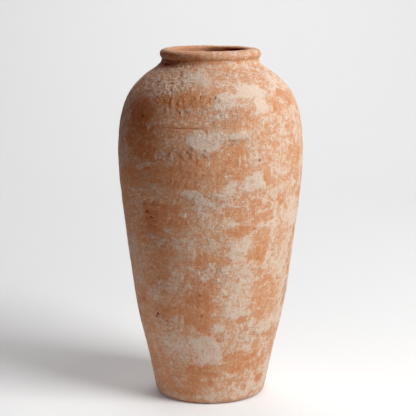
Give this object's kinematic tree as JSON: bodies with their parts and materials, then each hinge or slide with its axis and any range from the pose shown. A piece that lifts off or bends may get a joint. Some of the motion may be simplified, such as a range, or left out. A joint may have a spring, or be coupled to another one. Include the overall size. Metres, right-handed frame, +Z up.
{
  "type": "amphora vase",
  "caption": "Tall handleless terracotta amphora: slim foot, full high belly, steep shoulder, short neck and rolled lip, hollow for stems or pouring.",
  "frame": {"origin": "on the vase's axis, at the height of the ring it stands on", "axes": "+Z up along the axis to the mouth; the jar is round, so +X and +Y only place its marks: the face with the marks looks along -Y"},
  "size_m": [0.2544, 0.2544, 0.48],
  "materials": {
    "bare_clay": "unglazed terracotta, matte, fine grain and small pits",
    "limewashed_clay": "unglazed terracotta under a worn, patchy cream limewash, matte, stippled"
  },
  "bodies": {
    "root": {"floor_disc": "limewashed_clay", "corner_coil": "bare_clay", "lower_wall": "limewashed_clay", "middle_wall": "limewashed_clay", "belly_wall": "limewashed_clay", "shoulder_wall": "limewashed_clay", "neck_collar": "limewashed_clay", "rolled_lip": "limewashed_clay"}
  },
  "joints": []
}
